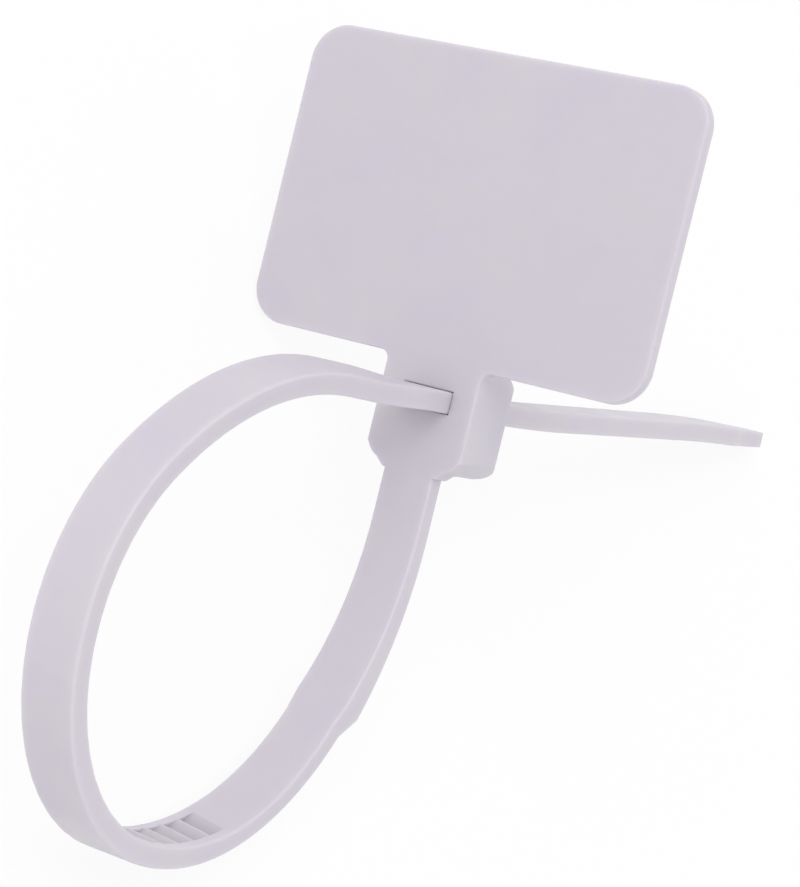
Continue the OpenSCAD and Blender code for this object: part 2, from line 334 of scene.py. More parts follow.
@dataclass(frozen=True)
class PhotoView:
    """The photograph's camera: turned to the head's front, then rolled.

    Its angles are in degrees and its lengths in millimetres of the moulding frame. The clip
    distances are in metres.
    """

    turn: float = 29.404
    tilt: float = 1.713
    roll: float = 13.792
    distance: float = 182.543
    shift_right: float = 1.657
    shift_up: float = 2.907
    focal_px: float = 2882.0
    clip_m: Point2 = (0.005, 10.0)

    def place(self, lies: Matrix) -> bpy.types.Object:
        """Makes the camera and sets it as the scene's own.

        Args:
            lies: The matrix from the moulding frame to the tie as it lies.

        Returns:
            The camera.
        """
        turn, tilt, roll = (math.radians(a) for a in (self.turn, self.tilt, self.roll))
        level = Vector((math.cos(turn), math.sin(turn), 0))
        ahead = Vector(
            (-math.sin(turn) * math.cos(tilt), math.cos(turn) * math.cos(tilt), -math.sin(tilt))
        )
        upright = level.cross(ahead)
        right = level * math.cos(roll) + upright * math.sin(roll)
        up = upright * math.cos(roll) - level * math.sin(roll)
        eye = -right * self.shift_right - up * self.shift_up - ahead * self.distance
        data = bpy.data.cameras.new("photo_camera")
        data.sensor_width = SENSOR_MM
        data.lens = self.focal_px * SENSOR_MM / IMAGE_LONG_SIDE
        data.clip_start, data.clip_end = self.clip_m
        camera = bpy.data.objects.new("photo_camera", data)
        bpy.context.scene.collection.objects.link(camera)
        axes = (lies.to_3x3() @ Matrix((right, up, -ahead)).transposed()) * (1 / MM)
        camera.matrix_world = Matrix.Translation(lies @ eye) @ axes.to_4x4()
        bpy.context.scene.camera = camera
        return camera


@dataclass(frozen=True)
class MouldedNylon:
    """Nylon 66 as moulded, satin and a little milky.

    The eye gets a pale cool grey that light sinks into, so that edges glow a little; clouds from
    the melt's flow shift its tint and its gloss, and a fine spark-eroded grain breaks highlights.
    The gaps between the teeth get painted shade, greyer the deeper they are, as their bands look in
    the photograph.
    """

    colour: str = "#cfcad1"
    cloud: str = "#cdc8d3"
    roughness: float = 0.42
    roughness_spread: float = 0.07
    ior: float = 1.53
    cloud_mm: float = 4.0
    cloud_detail: float = 3.0
    cloud_breakup: float = 0.55
    tint_range: Point2 = (0.35, 0.65)
    gloss_range: Point2 = (0.3, 0.7)
    # Real spark-eroded grain is finer than a pixel of the render, so it is drawn about as wide as one
    grain_mm: float = 0.12
    grain_detail: float = 2.0
    grain_height_mm: float = 0.0015
    wave_mm: float = 3.0
    wave_detail: float = 1.0
    wave_height_mm: float = 0.006
    # Painted shade in the tooth gaps: its grey, and how much of it the deepest points get
    gap_shade_colour: str = "#b3aeb5"
    gap_shade_share: float = 0.95
    milk_weight: float = 0.5
    milk_mm: float = 1.0
    milk_reach: Corner = (1.0, 0.9, 0.95)

    def material(self) -> bpy.types.Material:
        """Builds the material's nodes on Object coordinates.

        Returns:
            The material.
        """
        made = bpy.data.materials.new("nylon_66_moulded")
        made.use_nodes = True
        tree = made.node_tree
        tree.nodes.clear()
        add = partial(add_node, tree)
        place = add("ShaderNodeTexCoord").outputs["Object"]
        clouds = add(
            "ShaderNodeTexNoise",
            {
                "Vector": place,
                "Scale": 1 / (self.cloud_mm * MM),
                "Detail": self.cloud_detail,
                "Roughness": self.cloud_breakup,
            },
        ).outputs["Fac"]
        tint = add("ShaderNodeValToRGB", {"Fac": clouds})
        ramp = tint.color_ramp.elements
        ramp[0].position, ramp[1].position = self.tint_range
        ramp[0].color, ramp[1].color = linear(self.colour), linear(self.cloud)
        # Painted shade: the tooth gaps are painted greyer the deeper they lie
        gap_shade_depth = add("ShaderNodeAttribute", attribute_name=GAP_SHADE_MARK).outputs["Fac"]
        share = add("ShaderNodeMath", {0: gap_shade_depth, 1: self.gap_shade_share}, operation="MULTIPLY")
        # A colour mix takes its two colours at inputs 6 and 7 and gives its result at output 2
        gap_shaded_colour = add(
            "ShaderNodeMix",
            {0: share, 6: tint.outputs["Color"], 7: linear(self.gap_shade_colour)},
            data_type="RGBA",
        ).outputs[2]
        gloss = add(
            "ShaderNodeMapRange",
            {
                "Value": clouds,
                "From Min": self.gloss_range[0],
                "From Max": self.gloss_range[1],
                "To Min": self.roughness - self.roughness_spread,
                "To Max": self.roughness + self.roughness_spread,
            },
        )
        waves = add(
            "ShaderNodeTexNoise",
            {"Vector": place, "Scale": 1 / (self.wave_mm * MM), "Detail": self.wave_detail},
        )
        wave_bump = add(
            "ShaderNodeBump",
            {
                "Height": waves.outputs["Fac"],
                "Distance": self.wave_height_mm * MM,
                "Strength": 1.0,
            },
        )
        grain = add(
            "ShaderNodeTexNoise",
            {"Vector": place, "Scale": 1 / (self.grain_mm * MM), "Detail": self.grain_detail},
        )
        bump = add(
            "ShaderNodeBump",
            {
                "Height": grain.outputs["Fac"],
                "Distance": self.grain_height_mm * MM,
                "Strength": 1.0,
                "Normal": wave_bump.outputs["Normal"],
            },
        )
        shader = add(
            "ShaderNodeBsdfPrincipled",
            {
                "Base Color": gap_shaded_colour,
                "Roughness": gloss.outputs["Result"],
                "IOR": self.ior,
                "Subsurface Weight": self.milk_weight,
                "Subsurface Scale": self.milk_mm * MM,
                "Subsurface Radius": self.milk_reach,
                "Normal": bump.outputs["Normal"],
            },
        )
        add("ShaderNodeOutputMaterial", {"Surface": shader.outputs["BSDF"]})
        return made


@dataclass(frozen=True)
class Stretch:
    """A length of the strap's middle line: straight, or bent clockwise at one radius."""

    length: float
    turn: float = 0.0

    @classmethod
    def bend(cls, radius: float, turn: float) -> "Stretch":
        """Makes a bend from its radius and its turn in degrees."""
        return cls(radius * math.radians(turn), turn)

    def advance(self, station: Corner, part: float) -> Corner:
        """Moves a station along the stretch.

        Args:
            station: Through, up and heading in degrees where the stretch starts.
            part: Length that is moved along.

        Returns:
            The station there.
        """
        y, z, heading = station
        if self.turn == 0:
            ahead = math.radians(heading)
            return (y + part * math.cos(ahead), z + part * math.sin(ahead), heading)
        radius = self.length / math.radians(self.turn)
        turned = heading - self.turn * part / self.length
        old, new = math.radians(heading), math.radians(turned)
        return (
            y + radius * (math.sin(old) - math.sin(new)),
            z + radius * (math.cos(new) - math.cos(old)),
            turned,
        )


@dataclass
class StrapRoute:
    """The strap's middle line in the loop's plane, from the head round to the tail's tip."""

    thickness: float = 1.4
    head_drop: float = 4.9
    head_depth: float = 5.1
    root_bend: Point2 = (19.8, 36.5)
    ramp_length: float = 1.8
    lower_bend: Point2 = (18.6, 60.5)
    tight_bend: Point2 = (12.8, 129.5)
    return_radius: float = 24.6
    rise: Point2 = (175.0, 4.0)
    tail_straight: float = 18.0
    droop: Point2 = (300.0, 2.0)
    tip_length: float = 8.0
    stretches: list[Stretch] = field(init=False)
    stations: list[Corner] = field(init=False)
    starts: list[float] = field(init=False)
    slot_at: float = field(init=False)

    def __post_init__(self) -> None:
        """Closes the loop with two straight lengths, then walks the whole line."""
        back = 270 - self.root_bend[1] - self.lower_bend[1] - self.tight_bend[1]
        bends = [
            Stretch.bend(*self.root_bend),
            Stretch(self.ramp_length),
            Stretch.bend(*self.lower_bend),
            Stretch.bend(*self.tight_bend),
            Stretch.bend(self.return_radius, back),
        ]
        span = self.walk((0.0, 0.0, -90.0), bends)[-1]
        root, entry = span[1] - self.head_drop, -self.thickness / 2 - span[0]
        rise = Stretch.bend(*self.rise)
        self.stretches = [
            Stretch(root),
            *bends,
            Stretch(entry + self.head_depth),
            Stretch(rise.length, -rise.turn),
            Stretch(self.tail_straight),
            Stretch.bend(*self.droop),
            Stretch(self.tip_length),
        ]
        self.stations = self.walk((self.thickness / 2, -self.head_drop, -90.0), self.stretches)
        self.starts = [sum(s.length for s in self.stretches[:i]) for i in range(len(self.stretches) + 1)]
        self.slot_at = self.starts[len(bends) + 1] + entry

    @staticmethod
    def walk(station: Corner, stretches: list[Stretch]) -> list[Corner]:
        """Walks stretches one after the other.

        Args:
            station: Where the first one starts.
            stretches: The stretches in order.

        Returns:
            The stations at the start of each stretch and at the end of the last.
        """
        stations = [station]
        for stretch in stretches:
            stations.append(stretch.advance(stations[-1], stretch.length))
        return stations

    @property
    def ramp_at(self) -> float:
        """Distance from the root's start to where its ramp starts."""
        return self.starts[2]

    @property
    def ramp_ends(self) -> float:
        """Distance from the root's start to where its ramp ends."""
        return self.starts[3]

    @property
    def tip_at(self) -> float:
        """Distance from the root's start to where the tip starts to narrow."""
        return self.starts[-2]

    @property
    def length(self) -> float:
        """Length of the strap from its root to the end of its tip."""
        return self.starts[-1]

    def station(self, s: float) -> Corner:
        """Finds the station at a distance from the root's start.

        Args:
            s: The distance, which may be a little below 0, up into the head.

        Returns:
            Through, up and heading there.
        """
        i = max(k for k in range(len(self.stretches)) if k == 0 or self.starts[k] <= s)
        return self.stretches[i].advance(self.stations[i], s - self.starts[i])

    def marks(self, step: float = 1.5, gap: float = 0.8) -> list[float]:
        """Lists the distances at which the strap gets a rib.

        Args:
            step: Longest step in degrees round a bend.
            gap: Longest step in millimetres.

        Returns:
            The distances in order, up to where the tip starts to narrow.
        """
        found: list[float] = []
        for start, stretch in zip(self.starts[:-1], self.stretches[:-1]):
            count = math.ceil(max(1, abs(stretch.turn) / step, stretch.length / gap))
            found += [start + stretch.length * k / count for k in range(count)]
        return found + [self.tip_at]


@dataclass
class ToothedStrap:
    """The strap: a plain swollen root, a toothed length with smooth rails, and a thin tip."""

    route: StrapRoute
    width: float = 3.6
    edge_radius: float = 0.16
    edge_steps: int = 3
    swell_thickness: float = 0.6
    swell_width: float = 0.15
    anchor: float = 0.85
    tooth_pitch: float = 1.65
    tooth_depth: float = 0.5
    tooth_land: float = 0.25
    rail_width: float = 0.65
    plain_length: float = 10.0
    tip_width: float = 1.9
    tip_thickness: float = 1.2
    tip_round: float = 0.5
    tip_angles: tuple[int, ...] = (15, 30, 45, 58, 69, 78, 85)
    taper_ribs: int = 10
    lower_twist: Corner = (9.5, 27.5, 14.0)
    entry_twist: Corner = (8.0, 30.0, 8.0)
    flat_before: float = 0.5
    tooth_break: float = 0.04
    # Toothed ribs stand at these parts of each pitch, and plain ones this far from the toothed length
    rib_parts: Point2 = (0.45, 0.8)
    rib_room: float = 0.2
    # The wedge that cuts a gap stands this far out of the inner face, and its doubles are merged
    gap_above: float = 0.25
    gap_weld: float = 0.001

    def swell(self, s: float) -> float:
        """Tells how far the root has swollen, from 0 at the head to 1 where its ramp starts.

        Args:
            s: Distance from the root's start.

        Returns:
            The share of the full swelling.
        """
        ramp = self.route.ramp_at
        if s < ramp:
            return max(0.0, s / ramp) ** 2
        return max(0.0, 1 - (s - ramp) / self.route.ramp_length)

    def twist(self, s: float) -> float:
        """Works out the strap's twist about its middle line.

        Args:
            s: Distance from the root's start.

        Returns:
            The twist in radians, which turns the inner face to the left as the line runs.
        """
        most, at, length = self.lower_twist
        entry, comes, goes = self.entry_twist
        flat = self.route.slot_at - self.flat_before - goes

        def ease(x: float) -> float:
            """Eases from 0 to 1 and stays there."""
            return (1 - math.cos(math.pi * min(1.0, max(0.0, x)))) / 2

        lower = ease((s - at) / length + 1) if s < at else ease((at - s) / length + 1)
        before = ease((s - flat) / comes + 1) if s < flat else ease((flat - s) / goes + 1)
        return math.radians(entry * before - most * lower)

    @property
    def gaps(self) -> list[float]:
        """Distances from the root's start to where each gap between two teeth starts.

        They are whole pitches from the slot's mouth, so that the pawl's teeth meet them.
        """
        route = self.route
        before = int((route.slot_at - route.ramp_ends - self.plain_length) // self.tooth_pitch)
        after = int((route.tip_at - route.slot_at) // self.tooth_pitch) - 1
        return [route.slot_at + k * self.tooth_pitch for k in range(-before, after + 1)]

    def marks(self) -> list[float]:
        """Lists where the strap gets a rib, which in the toothed length stays off the teeth's edges.

        Returns:
            The distances in order from the root's start.
        """
        gaps, pitch, room = self.gaps, self.tooth_pitch, self.rib_room
        toothed = [gap + pitch * part for gap in gaps for part in self.rib_parts]
        plain = [s for s in self.route.marks() if not gaps[0] - room < s < gaps[-1] + pitch + room]
        return sorted(plain + toothed)

    def line(self) -> bpy.types.Object:
        """Makes the middle line as an edge chain that carries the strap's rules at each rib.

        Returns:
            The line's object, with the attributes twist, swell, narrow and thin.
        """
        route = self.route
        ribs = [(s, 1.0, 1.0) for s in [-self.anchor, *self.marks()]]
        tip_radius = self.tip_width / 2
        narrow, thin = self.tip_width / self.width, self.tip_thickness / route.thickness
        taper = route.tip_length - tip_radius
        count = self.taper_ribs
        ribs += [
            (route.tip_at + taper * k / count, 1 + (narrow - 1) * k / count, 1 + (thin - 1) * k / count)
            for k in range(1, count + 1)
        ]
        for angle in self.tip_angles:
            turn = math.radians(angle)
            ahead = tip_radius * math.sin(turn)
            short = max(0.0, 1 - (tip_radius - ahead) / self.tip_round)
            lost = self.tip_round * (1 - math.sqrt(1 - short**2)) / (self.tip_thickness / 2)
            ribs.append((route.tip_at + taper + ahead, narrow * math.cos(turn), thin * (1 - lost)))
        mesh = bpy.data.meshes.new("strap_line")
        mesh.from_pydata(
            [(0.0, *route.station(s)[:2]) for s, _, _ in ribs],
            [(i, i + 1) for i in range(len(ribs) - 1)],
            [],
        )
        rules = {
            "twist": [self.twist(s) for s, _, _ in ribs],
            "swell": [self.swell(s) for s, _, _ in ribs],
            "narrow": [narrowed for _, narrowed, _ in ribs],
            "thin": [thinned for _, _, thinned in ribs],
        }
        for name, values in rules.items():
            mesh.attributes.new(name, "FLOAT", "POINT").data.foreach_set("value", values)
        line = bpy.data.objects.new("strap_line", mesh)
        bpy.context.scene.collection.objects.link(line)
        return line

    def sizes(self) -> dict[str, float | int]:
        """Gives the values of the strap tree's named inputs.

        Returns:
            The values by name, in millimetres but for the count of gaps.
        """
        return {
            "Width": self.width,
            "Thickness": self.route.thickness,
            "Edge radius": self.edge_radius,
            "Swell thickness": self.swell_thickness,
            "Swell width": self.swell_width,
            "Tooth pitch": self.tooth_pitch,
            "Tooth depth": self.tooth_depth,
            "Tooth land": self.tooth_land,
            "Tooth width": self.width - 2 * self.rail_width,
            "First gap": self.anchor + self.gaps[0],
            "Gap above": self.gap_above,
            "Gaps": len(self.gaps),
        }

    def tree(self, nylon: bpy.types.Material) -> bpy.types.NodeTree:
        """Builds the node tree that lofts the strap along its line and cuts its teeth.

        Args:
            nylon: The material that the strap gets.

        Returns:
            The node group.
        """
        tree = bpy.data.node_groups.new("toothed_strap", "GeometryNodeTree")
        tree.interface.new_socket("Line", in_out="INPUT", socket_type="NodeSocketGeometry")
        for name, value in self.sizes().items():
            kind = "NodeSocketInt" if isinstance(value, int) else "NodeSocketFloat"
            tree.interface.new_socket(name, in_out="INPUT", socket_type=kind)
        tree.interface.new_socket("Strap", in_out="OUTPUT", socket_type="NodeSocketGeometry")
        add = partial(add_node, tree)
        given = add("NodeGroupInput").outputs
        place = add("GeometryNodeInputPosition")
        ahead = add("GeometryNodeInputTangent")
        rules = {
            name: add("GeometryNodeInputNamedAttribute", {"Name": name}, data_type="FLOAT")
            for name in ("twist", "swell", "narrow", "thin")
        }
        stored = {
            name: add("GeometryNodeInputNamedAttribute", {"Name": name}, data_type="FLOAT_VECTOR")
            for name in ("centre", "ahead", "section")
        }

        line = add("GeometryNodeMeshToCurve", {"Mesh": given["Line"]})
        outline = add(
            "GeometryNodeCurvePrimitiveQuadrilateral",
            {"Width": given["Width"], "Height": given["Thickness"]},
            mode="RECTANGLE",
        )
        soft = add(
            "GeometryNodeFilletCurve",
            {
                "Curve": outline,
                "Count": self.edge_steps,
                "Radius": given["Edge radius"],
                "Limit Radius": True,
            },
            mode="POLY",
        )
        # The line keeps its own place and direction, and the section its outline, for the loft
        marked = line
        for name, value in {"centre": place, "ahead": ahead}.items():
            marked = add(
                "GeometryNodeStoreNamedAttribute",
                {"Geometry": marked, "Name": name, "Value": value},
                data_type="FLOAT_VECTOR",
                domain="POINT",
            )
        section = add(
            "GeometryNodeStoreNamedAttribute",
            {"Geometry": soft, "Name": "section", "Value": place},
            data_type="FLOAT_VECTOR",
            domain="POINT",
        )
        loft = add(
            "GeometryNodeCurveToMesh",
            {"Curve": marked, "Profile Curve": section, "Fill Caps": True},
        )

        def frame_at(axis: Source, twist: Source) -> tuple[Source, Source]:
            """Gives the strap's directions across and out of the loop at a place on its line."""
            across = add(
                "ShaderNodeVectorRotate",
                {"Vector": (1.0, 0.0, 0.0), "Center": (0.0, 0.0, 0.0), "Axis": axis, "Angle": twist},
                rotation_type="AXIS_ANGLE",
            )
            return across, add("ShaderNodeVectorMath", {0: across, 1: axis}, operation="CROSS_PRODUCT")

        # The flat section is put square to the line, swollen at the root and thinned at the tip
        parts = add("ShaderNodeSeparateXYZ", {0: stored["section"]}).outputs
        side = add("ShaderNodeMath", {0: parts["X"], 1: 0.0}, operation="SIGN")
        outer = add("ShaderNodeMath", {0: parts["Y"], 1: 0.0}, operation="GREATER_THAN")
        across, out = frame_at(stored["ahead"], rules["twist"])
        reaches = []
        for way, part, where, most, thinned in (
            (across, parts["X"], side, "Swell width", "narrow"),
            (out, parts["Y"], outer, "Swell thickness", "thin"),
        ):
            full = add("ShaderNodeMath", {0: where, 1: given[most]}, operation="MULTIPLY")
            swollen = add("ShaderNodeMath", {0: full, 1: rules["swell"]}, operation="MULTIPLY")
            reach = add(
                "ShaderNodeMath", {0: part, 1: rules[thinned], 2: swollen}, operation="MULTIPLY_ADD"
            )
            reaches.append(add("ShaderNodeVectorMath", {0: way, "Scale": reach}, operation="SCALE"))
        moved = add("ShaderNodeVectorMath", {0: reaches[0], 1: reaches[1]}, operation="ADD")
        put = add("ShaderNodeVectorMath", {0: stored["centre"], 1: moved}, operation="ADD")
        strap = add("GeometryNodeSetPosition", {"Geometry": loft, "Position": put})

        # One gap between two teeth: a ramp down towards the tip, then the next tooth's steep back
        pitch, land = given["Tooth pitch"], given["Tooth land"]
        depth, above = given["Tooth depth"], given["Gap above"]
        cube = add("GeometryNodeMeshCube", {"Size": (1.0, 1.0, 1.0)})
        corner = add("ShaderNodeSeparateXYZ", {0: place}).outputs
        far = add("ShaderNodeMath", {0: corner["X"], 1: 0.5}, operation="ADD")
        low = add("ShaderNodeMath", {0: corner["Y"], 1: 0.5}, operation="ADD")
        lowest = add("ShaderNodeMath", {0: far, 1: low}, operation="MULTIPLY")
        run = add("ShaderNodeMath", {0: pitch, 1: land}, operation="SUBTRACT")
        slope = add("ShaderNodeMath", {0: run, 1: depth}, operation="DIVIDE")
        early = add("ShaderNodeMath", {0: slope, 1: above}, operation="MULTIPLY")
        near = add("ShaderNodeMath", {0: land, 1: early}, operation="SUBTRACT")
        long = add("ShaderNodeMath", {0: pitch, 1: near}, operation="SUBTRACT")
        along = add("ShaderNodeMath", {0: far, 1: long, 2: near}, operation="MULTIPLY_ADD")
        face = add("ShaderNodeMath", {0: given["Thickness"], 1: -0.5}, operation="MULTIPLY")
        top = add("ShaderNodeMath", {0: face, 1: above}, operation="SUBTRACT")
        tall = add("ShaderNodeMath", {0: depth, 1: above}, operation="ADD")
        deep = add("ShaderNodeMath", {0: lowest, 1: tall, 2: top}, operation="MULTIPLY_ADD")
        wide = add("ShaderNodeMath", {0: corner["Z"], 1: given["Tooth width"]}, operation="MULTIPLY")
        # Each corner keeps how deep it lies, for the painted shade that the material puts in the gaps
        gap_shade_stored = add(
            "GeometryNodeStoreNamedAttribute",
            {"Geometry": cube, "Name": GAP_SHADE_MARK, "Value": lowest},
            data_type="FLOAT",
            domain="CORNER",
        )
        shape = add("ShaderNodeCombineXYZ", {0: along, 1: deep, 2: wide})
        wedge = add("GeometryNodeSetPosition", {"Geometry": gap_shade_stored, "Position": shape})
        gap = add("GeometryNodeMergeByDistance", {"Geometry": wedge, "Distance": self.gap_weld})

        # The gaps stand along the line at the tooth pitch, turned and twisted with it
        number = add("GeometryNodeInputIndex")
        points = add("GeometryNodePoints", {"Count": given["Gaps"]})
        reached = add(
            "ShaderNodeMath", {0: number, 1: pitch, 2: given["First gap"]}, operation="MULTIPLY_ADD"
        )
        sample = add(
            "GeometryNodeSampleCurve",
            {"Curves": line, "Value": rules["twist"], "Length": reached},
            mode="LENGTH",
            use_all_curves=True,
        ).outputs
        gap_across, _ = frame_at(sample["Tangent"], sample["Value"])
        turn = add(
            "FunctionNodeAxesToRotation",
            {"Primary Axis": sample["Tangent"], "Secondary Axis": gap_across},
            primary_axis="X",
            secondary_axis="Z",
        )
        spread = add("GeometryNodeSetPosition", {"Geometry": points, "Position": sample["Position"]})
        gaps = add(
            "GeometryNodeInstanceOnPoints", {"Points": spread, "Instance": gap, "Rotation": turn}
        )
        cut = add(
            "GeometryNodeMeshBoolean",
            {"Mesh 1": strap, "Mesh 2": gaps},
            operation="DIFFERENCE",
            solver="EXACT",
        )
        whole = add("GeometryNodeRealizeInstances", {"Geometry": cut})
        dressed = add("GeometryNodeSetMaterial", {"Geometry": whole, "Material": nylon})
        add("NodeGroupOutput", {0: dressed})
        return tree

    def build(self, nylon: bpy.types.Material) -> Solid:
        """Builds the strap.

        Args:
            nylon: The material that it gets.

        Returns:
            The strap as a closed solid.
        """
        line = self.line()
        modifier = line.modifiers.new("toothed_strap", "NODES")
        tree = self.tree(nylon)
        modifier.node_group = tree
        identifiers = {
            item.name: item.identifier
            for item in tree.interface.items_tree
            if item.item_type == "SOCKET" and item.in_out == "INPUT"
        }
        for name, value in self.sizes().items():
            modifier[identifiers[name]] = value
        strap = Solid("strap", line)
        strap.settle()
        for name in ("twist", "swell", "narrow", "thin", "centre", "ahead", "section"):
            found = strap.piece.data.attributes.get(name)
            if found:
                strap.piece.data.attributes.remove(found)
        bpy.data.node_groups.remove(tree)
        return strap.soften(self.tooth_break, before=self.route.station(self.route.tip_at)[0])


@dataclass
class MarkerPlate:
    """The writing plate and its neck, flush with the head's front."""

    length: float = 29.0
    height: float = 20.0
    thickness: float = 1.1
    corner_radius: float = 2.5
    rise: float = 2.35
    neck_width: float = 7.0
    neck_fillet: float = 0.6
    rooted: float = 0.9
    edge_break: float = 0.14
    corner_step: float = 5.0

    def build(self) -> Solid:
        """Builds the plate.

        Returns:
            The plate as a closed solid.
        """
        x, neck, low, high = self.length / 2, self.neck_width / 2, self.rise, self.rise + self.height
        half = [
            (neck, low - self.rooted, 0.0),
            (neck, low, self.neck_fillet),
            (x, low, self.corner_radius),
            (x, high, self.corner_radius),
        ]
        mirrored = [(-a, b, radius) for a, b, radius in reversed(half)]
        outline = rounded(half + mirrored, self.corner_step)
        plate = Solid("plate").prism(outline, Plane.FRONT, 0.0, self.thickness)
        return plate.soften(self.edge_break)


@dataclass
class RatchetHead:
    """The head: a block with a round sole, the slot, and the toothed pawl that holds the strap."""

    strap: ToothedStrap
    width: float = 7.0
    depth: float = 5.1
    drop: float = 4.9
    top: float = 2.35
    taper_width: float = 1.5
    taper_height: float = 1.35
    web: float = 1.6
    sole_rise: float = 0.45
    sole_radius: float = 1.4
    heel_radius: float = 1.1
    crown_bevel: float = 0.9
    crown_radius: float = 0.25
    corner_radius: float = 0.5
    root_fillet: float = 0.6
    slot_gap: float = 0.035
    lead_in: float = 0.06
    front_wall: float = 0.8
    hinge: float = 0.45
    pawl: float = 1.0
    mesh_gap: float = 0.08
    pawl_side_gap: float = 0.2
    pawl_travel: float = 0.55
    pocket_radius: float = 0.2
    over: float = 0.4
    edge_break: float = 0.14
    fine_break: float = 0.04
    # Edges are rounded up to this far past the start of the rear corners
    soft_room: float = 0.01

    @property
    def sole(self) -> float:
        """Height of the block's own bottom."""
        return self.sole_rise - self.drop

    @property
    def slot_floor(self) -> float:
        """Height of the slot's floor."""
        return -self.strap.route.thickness / 2 - self.slot_gap

    @property
    def pawl_width(self) -> float:
        """Width of the pawl, which fits between the strap's rails."""
        return self.strap.width - 2 * self.strap.rail_width - 2 * self.pawl_side_gap

    def block(self) -> Solid:
        """Builds the block from its outlines from the front, the side and above.

        Returns:
            The block, with the edges at its rear left as they are.
        """
        x, sole, top, over = self.width / 2, self.sole, self.top, self.over
        front = [(-x, top, 0.0), (-x, sole, self.sole_radius), (x, sole, self.sole_radius), (x, top, 0.0)]
        side = [
            (-over, sole, 0.0), (self.depth, sole, self.heel_radius),
            (self.depth, top - self.crown_bevel, self.crown_radius),
            (self.depth - self.crown_bevel, top, self.crown_radius),
            (-over, top, 0.0),
        ]
        plan = [
            (-x, -over, 0.0), (x, -over, 0.0),
            (x, self.depth, self.corner_radius), (-x, self.depth, self.corner_radius),
        ]
        block = Solid("head").prism(rounded(front), Plane.FRONT, 0.0, self.depth)
        across = Solid("side").prism(rounded(side), Plane.SIDE, -x - over, x + over)
        down = Solid("plan").prism(rounded(plan), Plane.TOP, sole - over, top + over)
        block.blend(across, Blend.KEEP_COMMON)
        block.blend(down, Blend.KEEP_COMMON)
        return block.soften(self.edge_break, before=self.depth - self.corner_radius + self.soft_room)

    def tapered(self, inset: float, through: float) -> Solid:
        """Builds a plate of the web's outline.

        Args:
            inset: How far its edges lie inside the web's own.
            through: How far it reaches through the head.

        Returns:
            The plate.
        """
        x, low = self.width / 2 - inset, inset - self.drop
        outline = [
            (-x, self.slot_floor), (-x, low + self.taper_height), (self.taper_width - x, low),
            (x - self.taper_width, low), (x, low + self.taper_height), (x, self.slot_floor),
        ]
        return Solid("web").prism(outline, Plane.FRONT, 0.0, through)

    def front_web(self) -> Solid:
        """Builds the web that carries the pull of the strap's root into the head's front."""
        return self.tapered(0.0, self.web).soften(self.edge_break)

    def root_corner(self) -> Solid:
        """Builds the fillet behind the strap's root, between the web's edges.

        Returns:
            The fillet.
        """
        thick, sole, r, over = self.strap.route.thickness, self.sole, self.root_fillet, self.over
        outline = rounded([
            (thick - over, sole + over, 0.0), (thick + r, sole + over, 0.0), (thick + r, sole, 0.0),
            (thick, sole, r), (thick, sole - r, 0.0), (thick - over, sole - r, 0.0),
        ])
        fillet = Solid("root_corner").prism(outline, Plane.SIDE, -self.width / 2, self.width / 2)
        return fillet.blend(self.tapered(self.edge_break / 2, thick + r + over), Blend.KEEP_COMMON)

    def slot(self) -> Solid:
        """Builds what is cut away for the slot, with a lead-in above and below its mouth.

        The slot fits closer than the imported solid's, which keeps the dark line round the strap thin.

        Returns:
            The slot's own shape.
        """
        low, over, lead, back = self.slot_floor, self.over, self.lead_in, self.depth + self.over
        outline = [
            (-over, lead + over - low), (lead, -low), (back, -low),
            (back, low), (lead, low), (-over, low - lead - over),
        ]
        half = self.strap.width / 2 + self.slot_gap
        return Solid("slot").prism(outline, Plane.SIDE, -half, half)

    def pocket(self) -> Solid:
        """Builds what is cut away for the pocket that the pawl moves in, open at the back.

        Returns:
            The pocket's own shape.
        """
        floor = -self.strap.route.thickness / 2 - self.mesh_gap - self.pawl - self.pawl_travel
        high, back = self.slot_floor + self.over, self.depth + self.over
        outline = rounded([
            (self.front_wall, high, 0.0), (back, high, 0.0),
            (back, floor, 0.0), (self.front_wall, floor, self.pocket_radius),
        ])
        half = self.pawl_width / 2 + self.pawl_side_gap
        return Solid("pocket").prism(outline, Plane.SIDE, -half, half)

    def tongue(self) -> Solid:
        """Builds the pawl: a tongue hinged on the front wall, whose teeth fit the strap's gaps.

        Returns:
            The pawl.
        """
        pitch, land = self.strap.tooth_pitch, self.strap.tooth_land
        top = -self.strap.route.thickness / 2 - self.mesh_gap
        teeth = int(self.depth // pitch) - 1
        end = (teeth + 1) * pitch - self.mesh_gap
        outline = [
            (self.front_wall - self.over, top - self.pawl + self.hinge),
            (self.front_wall, top - self.pawl + self.hinge),
            (pitch, top),
        ]
        for k in range(1, teeth + 1):
            outline += [
                (k * pitch + land, top),
                ((k + 1) * pitch - self.mesh_gap, top + self.strap.tooth_depth - self.mesh_gap),
                ((k + 1) * pitch - self.mesh_gap, top),
            ]
        outline += [
            (end, top - self.pawl / 2), (end - self.pawl / 2, top - self.pawl),
            (self.front_wall - self.over, top - self.pawl),
        ]
        half = self.pawl_width / 2
        pawl = Solid("pawl").prism(without_repeats(outline), Plane.SIDE, -half, half)
        return pawl.soften(self.fine_break)

    def build(self) -> Solid:
        """Builds the head with its slot, pocket and pawl.

        Returns:
            The head as a closed solid.
        """
        head = self.block()
        head.blend(self.front_web(), Blend.ADD)
        head.blend(self.slot(), Blend.CUT)
        head.blend(self.pocket(), Blend.CUT)
        head.blend(self.tongue(), Blend.ADD)
        head.blend(self.root_corner(), Blend.ADD)
        return head


